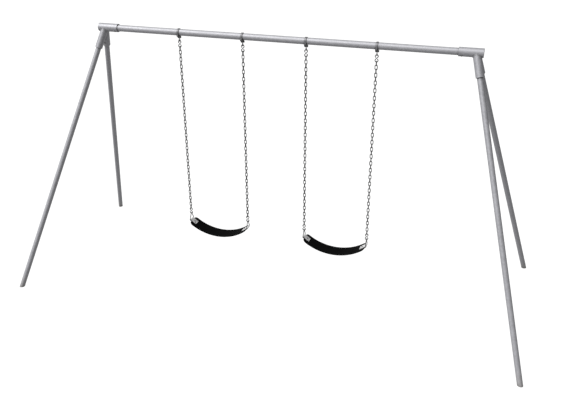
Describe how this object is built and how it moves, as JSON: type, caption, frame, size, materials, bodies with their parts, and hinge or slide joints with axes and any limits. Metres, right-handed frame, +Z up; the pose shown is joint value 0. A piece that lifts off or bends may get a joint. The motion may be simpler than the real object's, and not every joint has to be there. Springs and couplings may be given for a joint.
{
  "type": "swing set",
  "caption": "Free-standing pipe swing frame: a top rail on splayed leg pairs, with sagging strap seats hung on chain from pivoting hangers.",
  "frame": {"origin": "on the ground under the middle of the top rail", "axes": "+X along the top rail, +Y to the rear, +Z up"},
  "size_m": [4.8492, 1.988, 2.4765],
  "materials": {
    "galvanized_pipe": "hot-dip galvanized, dull grey with faint spangle",
    "galvanized_fitting": "galvanized weldment, slightly rougher and darker than the pipe",
    "zinc_hardware": "zinc-plated, semi-bright",
    "zinc_chain": "zinc-plated welded chain",
    "forged_hanger": "galvanized forging, grainy",
    "bush_bronze": "oil-filled sintered bronze",
    "cap_plastic": "matte grey moulded cap",
    "seat_rubber": "black moulded rubber, satin, embossed top",
    "seat_steel": "galvanized plate, light grey",
    "spring_steel": "oiled spring strip"
  },
  "bodies": {
    "frame": {"top_rail": "galvanized_pipe", "socket_screws": "zinc_hardware", "sleeve_screws": "zinc_hardware", "strap_screws": "zinc_hardware", "pivot_bolts": "zinc_hardware", "pivot_nuts": "zinc_hardware", "left_end_fitting": "galvanized_fitting", "left_rail_cap": "cap_plastic", "left_front_leg": "galvanized_pipe", "left_rear_leg": "galvanized_pipe", "left_outer_strap": "forged_hanger", "left_outer_yoke": "forged_hanger", "left_inner_strap": "forged_hanger", "left_inner_yoke": "forged_hanger", "right_end_fitting": "galvanized_fitting", "right_rail_cap": "cap_plastic", "right_front_leg": "galvanized_pipe", "right_rear_leg": "galvanized_pipe", "right_outer_strap": "forged_hanger", "right_outer_yoke": "forged_hanger", "right_inner_strap": "forged_hanger", "right_inner_yoke": "forged_hanger"},
    "left_outer_pendulum": {"left_outer_pendulum": "forged_hanger", "left_outer_bush": "bush_bronze"},
    "left_outer_chain": {"left_outer_upper_hook": "zinc_hardware", "left_outer_chain": "zinc_chain"},
    "left_outer_hook": {"left_outer_lower_hook": "zinc_hardware"},
    "left_inner_pendulum": {"left_inner_pendulum": "forged_hanger", "left_inner_bush": "bush_bronze"},
    "left_inner_chain": {"left_inner_upper_hook": "zinc_hardware", "left_inner_chain": "zinc_chain"},
    "left_inner_hook": {"left_inner_lower_hook": "zinc_hardware"},
    "left_seat": {"left_belt": "seat_rubber", "left_belt_insert": "spring_steel", "left_end_plates": "seat_steel", "left_rivets": "zinc_hardware", "left_outer_ring": "zinc_hardware", "left_inner_ring": "zinc_hardware"},
    "right_outer_pendulum": {"right_outer_pendulum": "forged_hanger", "right_outer_bush": "bush_bronze"},
    "right_outer_chain": {"right_outer_upper_hook": "zinc_hardware", "right_outer_chain": "zinc_chain"},
    "right_outer_hook": {"right_outer_lower_hook": "zinc_hardware"},
    "right_inner_pendulum": {"right_inner_pendulum": "forged_hanger", "right_inner_bush": "bush_bronze"},
    "right_inner_chain": {"right_inner_upper_hook": "zinc_hardware", "right_inner_chain": "zinc_chain"},
    "right_inner_hook": {"right_inner_lower_hook": "zinc_hardware"},
    "right_seat": {"right_belt": "seat_rubber", "right_belt_insert": "spring_steel", "right_end_plates": "seat_steel", "right_rivets": "zinc_hardware", "right_outer_ring": "zinc_hardware", "right_inner_ring": "zinc_hardware"}
  },
  "joints": [
    {"name": "left_swing", "type": "hinge", "parent": "frame", "child": "left_outer_pendulum", "pos_m": [-0.937, 0, 2.3944], "axis": [1, 0, 0], "range_deg": [-60, 60]},
    {"name": "left_sway", "type": "hinge", "parent": "left_outer_pendulum", "child": "left_outer_chain", "pos_m": [-0.937, 0, 2.3509], "axis": [0, 1, 0], "range_deg": [-8, 8]},
    {"name": "left_hook_level", "type": "hinge", "parent": "left_outer_chain", "child": "left_outer_hook", "pos_m": [-0.937, 0, 0.63526], "axis": [0, 1, 0], "range_deg": [-8, 8]},
    {"name": "left_seat_rock", "type": "hinge", "parent": "left_outer_hook", "child": "left_seat", "pos_m": [-0.937, 0, 0.58656], "axis": [1, 0, 0], "range_deg": [-40, 40]},
    {"name": "left_swing_inner", "type": "hinge", "parent": "frame", "child": "left_inner_pendulum", "pos_m": [-0.315, 0, 2.3944], "axis": [1, 0, 0], "range_deg": [-60, 60]},
    {"name": "left_sway_inner", "type": "hinge", "parent": "left_inner_pendulum", "child": "left_inner_chain", "pos_m": [-0.315, 0, 2.3509], "axis": [0, 1, 0], "range_deg": [-8, 8]},
    {"name": "left_hook_level_inner", "type": "hinge", "parent": "left_inner_chain", "child": "left_inner_hook", "pos_m": [-0.315, 0, 0.63526], "axis": [0, 1, 0], "range_deg": [-8, 8]},
    {"name": "right_swing", "type": "hinge", "parent": "frame", "child": "right_outer_pendulum", "pos_m": [0.898, 0, 2.3944], "axis": [1, 0, 0], "range_deg": [-60, 60]},
    {"name": "right_sway", "type": "hinge", "parent": "right_outer_pendulum", "child": "right_outer_chain", "pos_m": [0.898, 0, 2.3509], "axis": [0, 1, 0], "range_deg": [-8, 8]},
    {"name": "right_hook_level", "type": "hinge", "parent": "right_outer_chain", "child": "right_outer_hook", "pos_m": [0.898, 0, 0.63526], "axis": [0, 1, 0], "range_deg": [-8, 8]},
    {"name": "right_seat_rock", "type": "hinge", "parent": "right_outer_hook", "child": "right_seat", "pos_m": [0.898, 0, 0.58656], "axis": [1, 0, 0], "range_deg": [-40, 40]},
    {"name": "right_swing_inner", "type": "hinge", "parent": "frame", "child": "right_inner_pendulum", "pos_m": [0.276, 0, 2.3944], "axis": [1, 0, 0], "range_deg": [-60, 60]},
    {"name": "right_sway_inner", "type": "hinge", "parent": "right_inner_pendulum", "child": "right_inner_chain", "pos_m": [0.276, 0, 2.3509], "axis": [0, 1, 0], "range_deg": [-8, 8]},
    {"name": "right_hook_level_inner", "type": "hinge", "parent": "right_inner_chain", "child": "right_inner_hook", "pos_m": [0.276, 0, 0.63526], "axis": [0, 1, 0], "range_deg": [-8, 8]}
  ],
  "couplings": [
    {"joint": "left_hook_level", "follows": "left_sway", "ratio": -1},
    {"joint": "left_swing_inner", "follows": "left_swing", "ratio": 1},
    {"joint": "left_sway_inner", "follows": "left_sway", "ratio": 1},
    {"joint": "left_hook_level_inner", "follows": "left_sway", "ratio": -1},
    {"joint": "right_hook_level", "follows": "right_sway", "ratio": -1},
    {"joint": "right_swing_inner", "follows": "right_swing", "ratio": 1},
    {"joint": "right_sway_inner", "follows": "right_sway", "ratio": 1},
    {"joint": "right_hook_level_inner", "follows": "right_sway", "ratio": -1}
  ]
}
